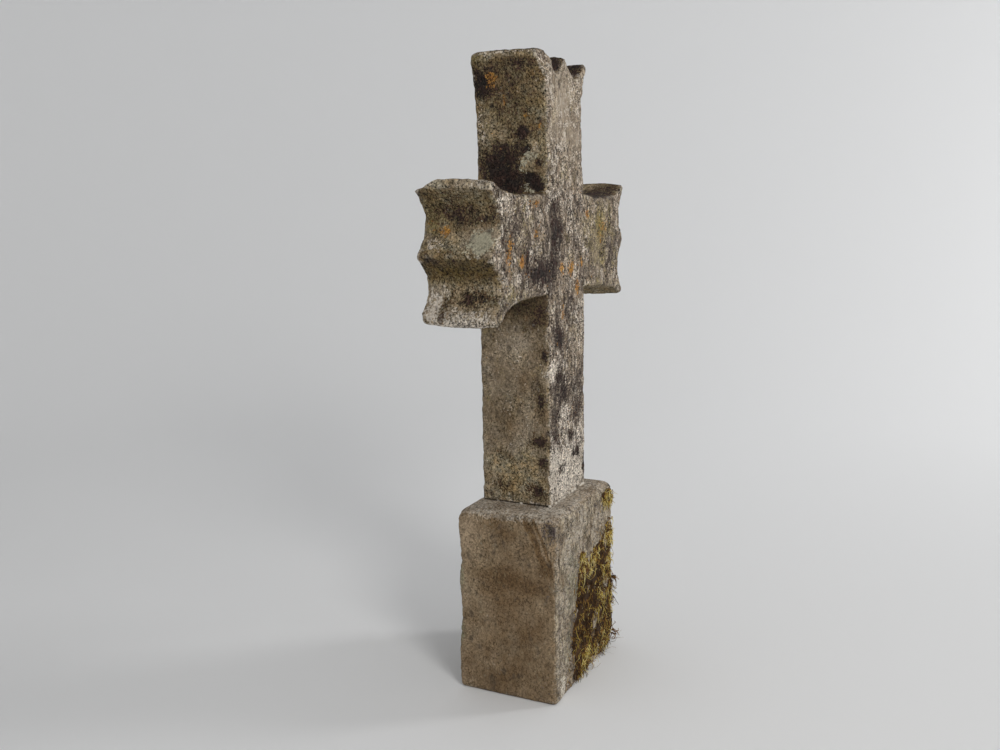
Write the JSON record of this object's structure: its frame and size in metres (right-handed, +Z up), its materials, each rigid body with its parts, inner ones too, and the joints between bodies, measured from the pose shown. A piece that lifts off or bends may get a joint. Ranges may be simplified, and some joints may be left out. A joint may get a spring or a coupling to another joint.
{
  "type": "stone cross memorial",
  "caption": "Weathered carved stone cross with scooped, cusped limb ends, standing on a separate rough-hewn stone plinth with moss on its front face.",
  "frame": {"origin": "centre of the plinth's underside, on the ground", "axes": "+Z up the shaft, +X along the arms, -Y out of the front face, which has the moss"},
  "size_m": [0.4614, 0.1498, 0.842],
  "materials": {
    "cross_stone": "weathered sandstone, mottled beige, grey and dark brown with orange and pale green lichen",
    "plinth_stone": "drab brown sandstone, worn grey along its upper edges and rough-hewn at the back",
    "moss": "dry yellow-green and brown moss"
  },
  "bodies": {
    "root": {"cross": "cross_stone", "plinth": "plinth_stone", "moss_mat": "moss", "moss_tuft": "moss"}
  },
  "joints": []
}
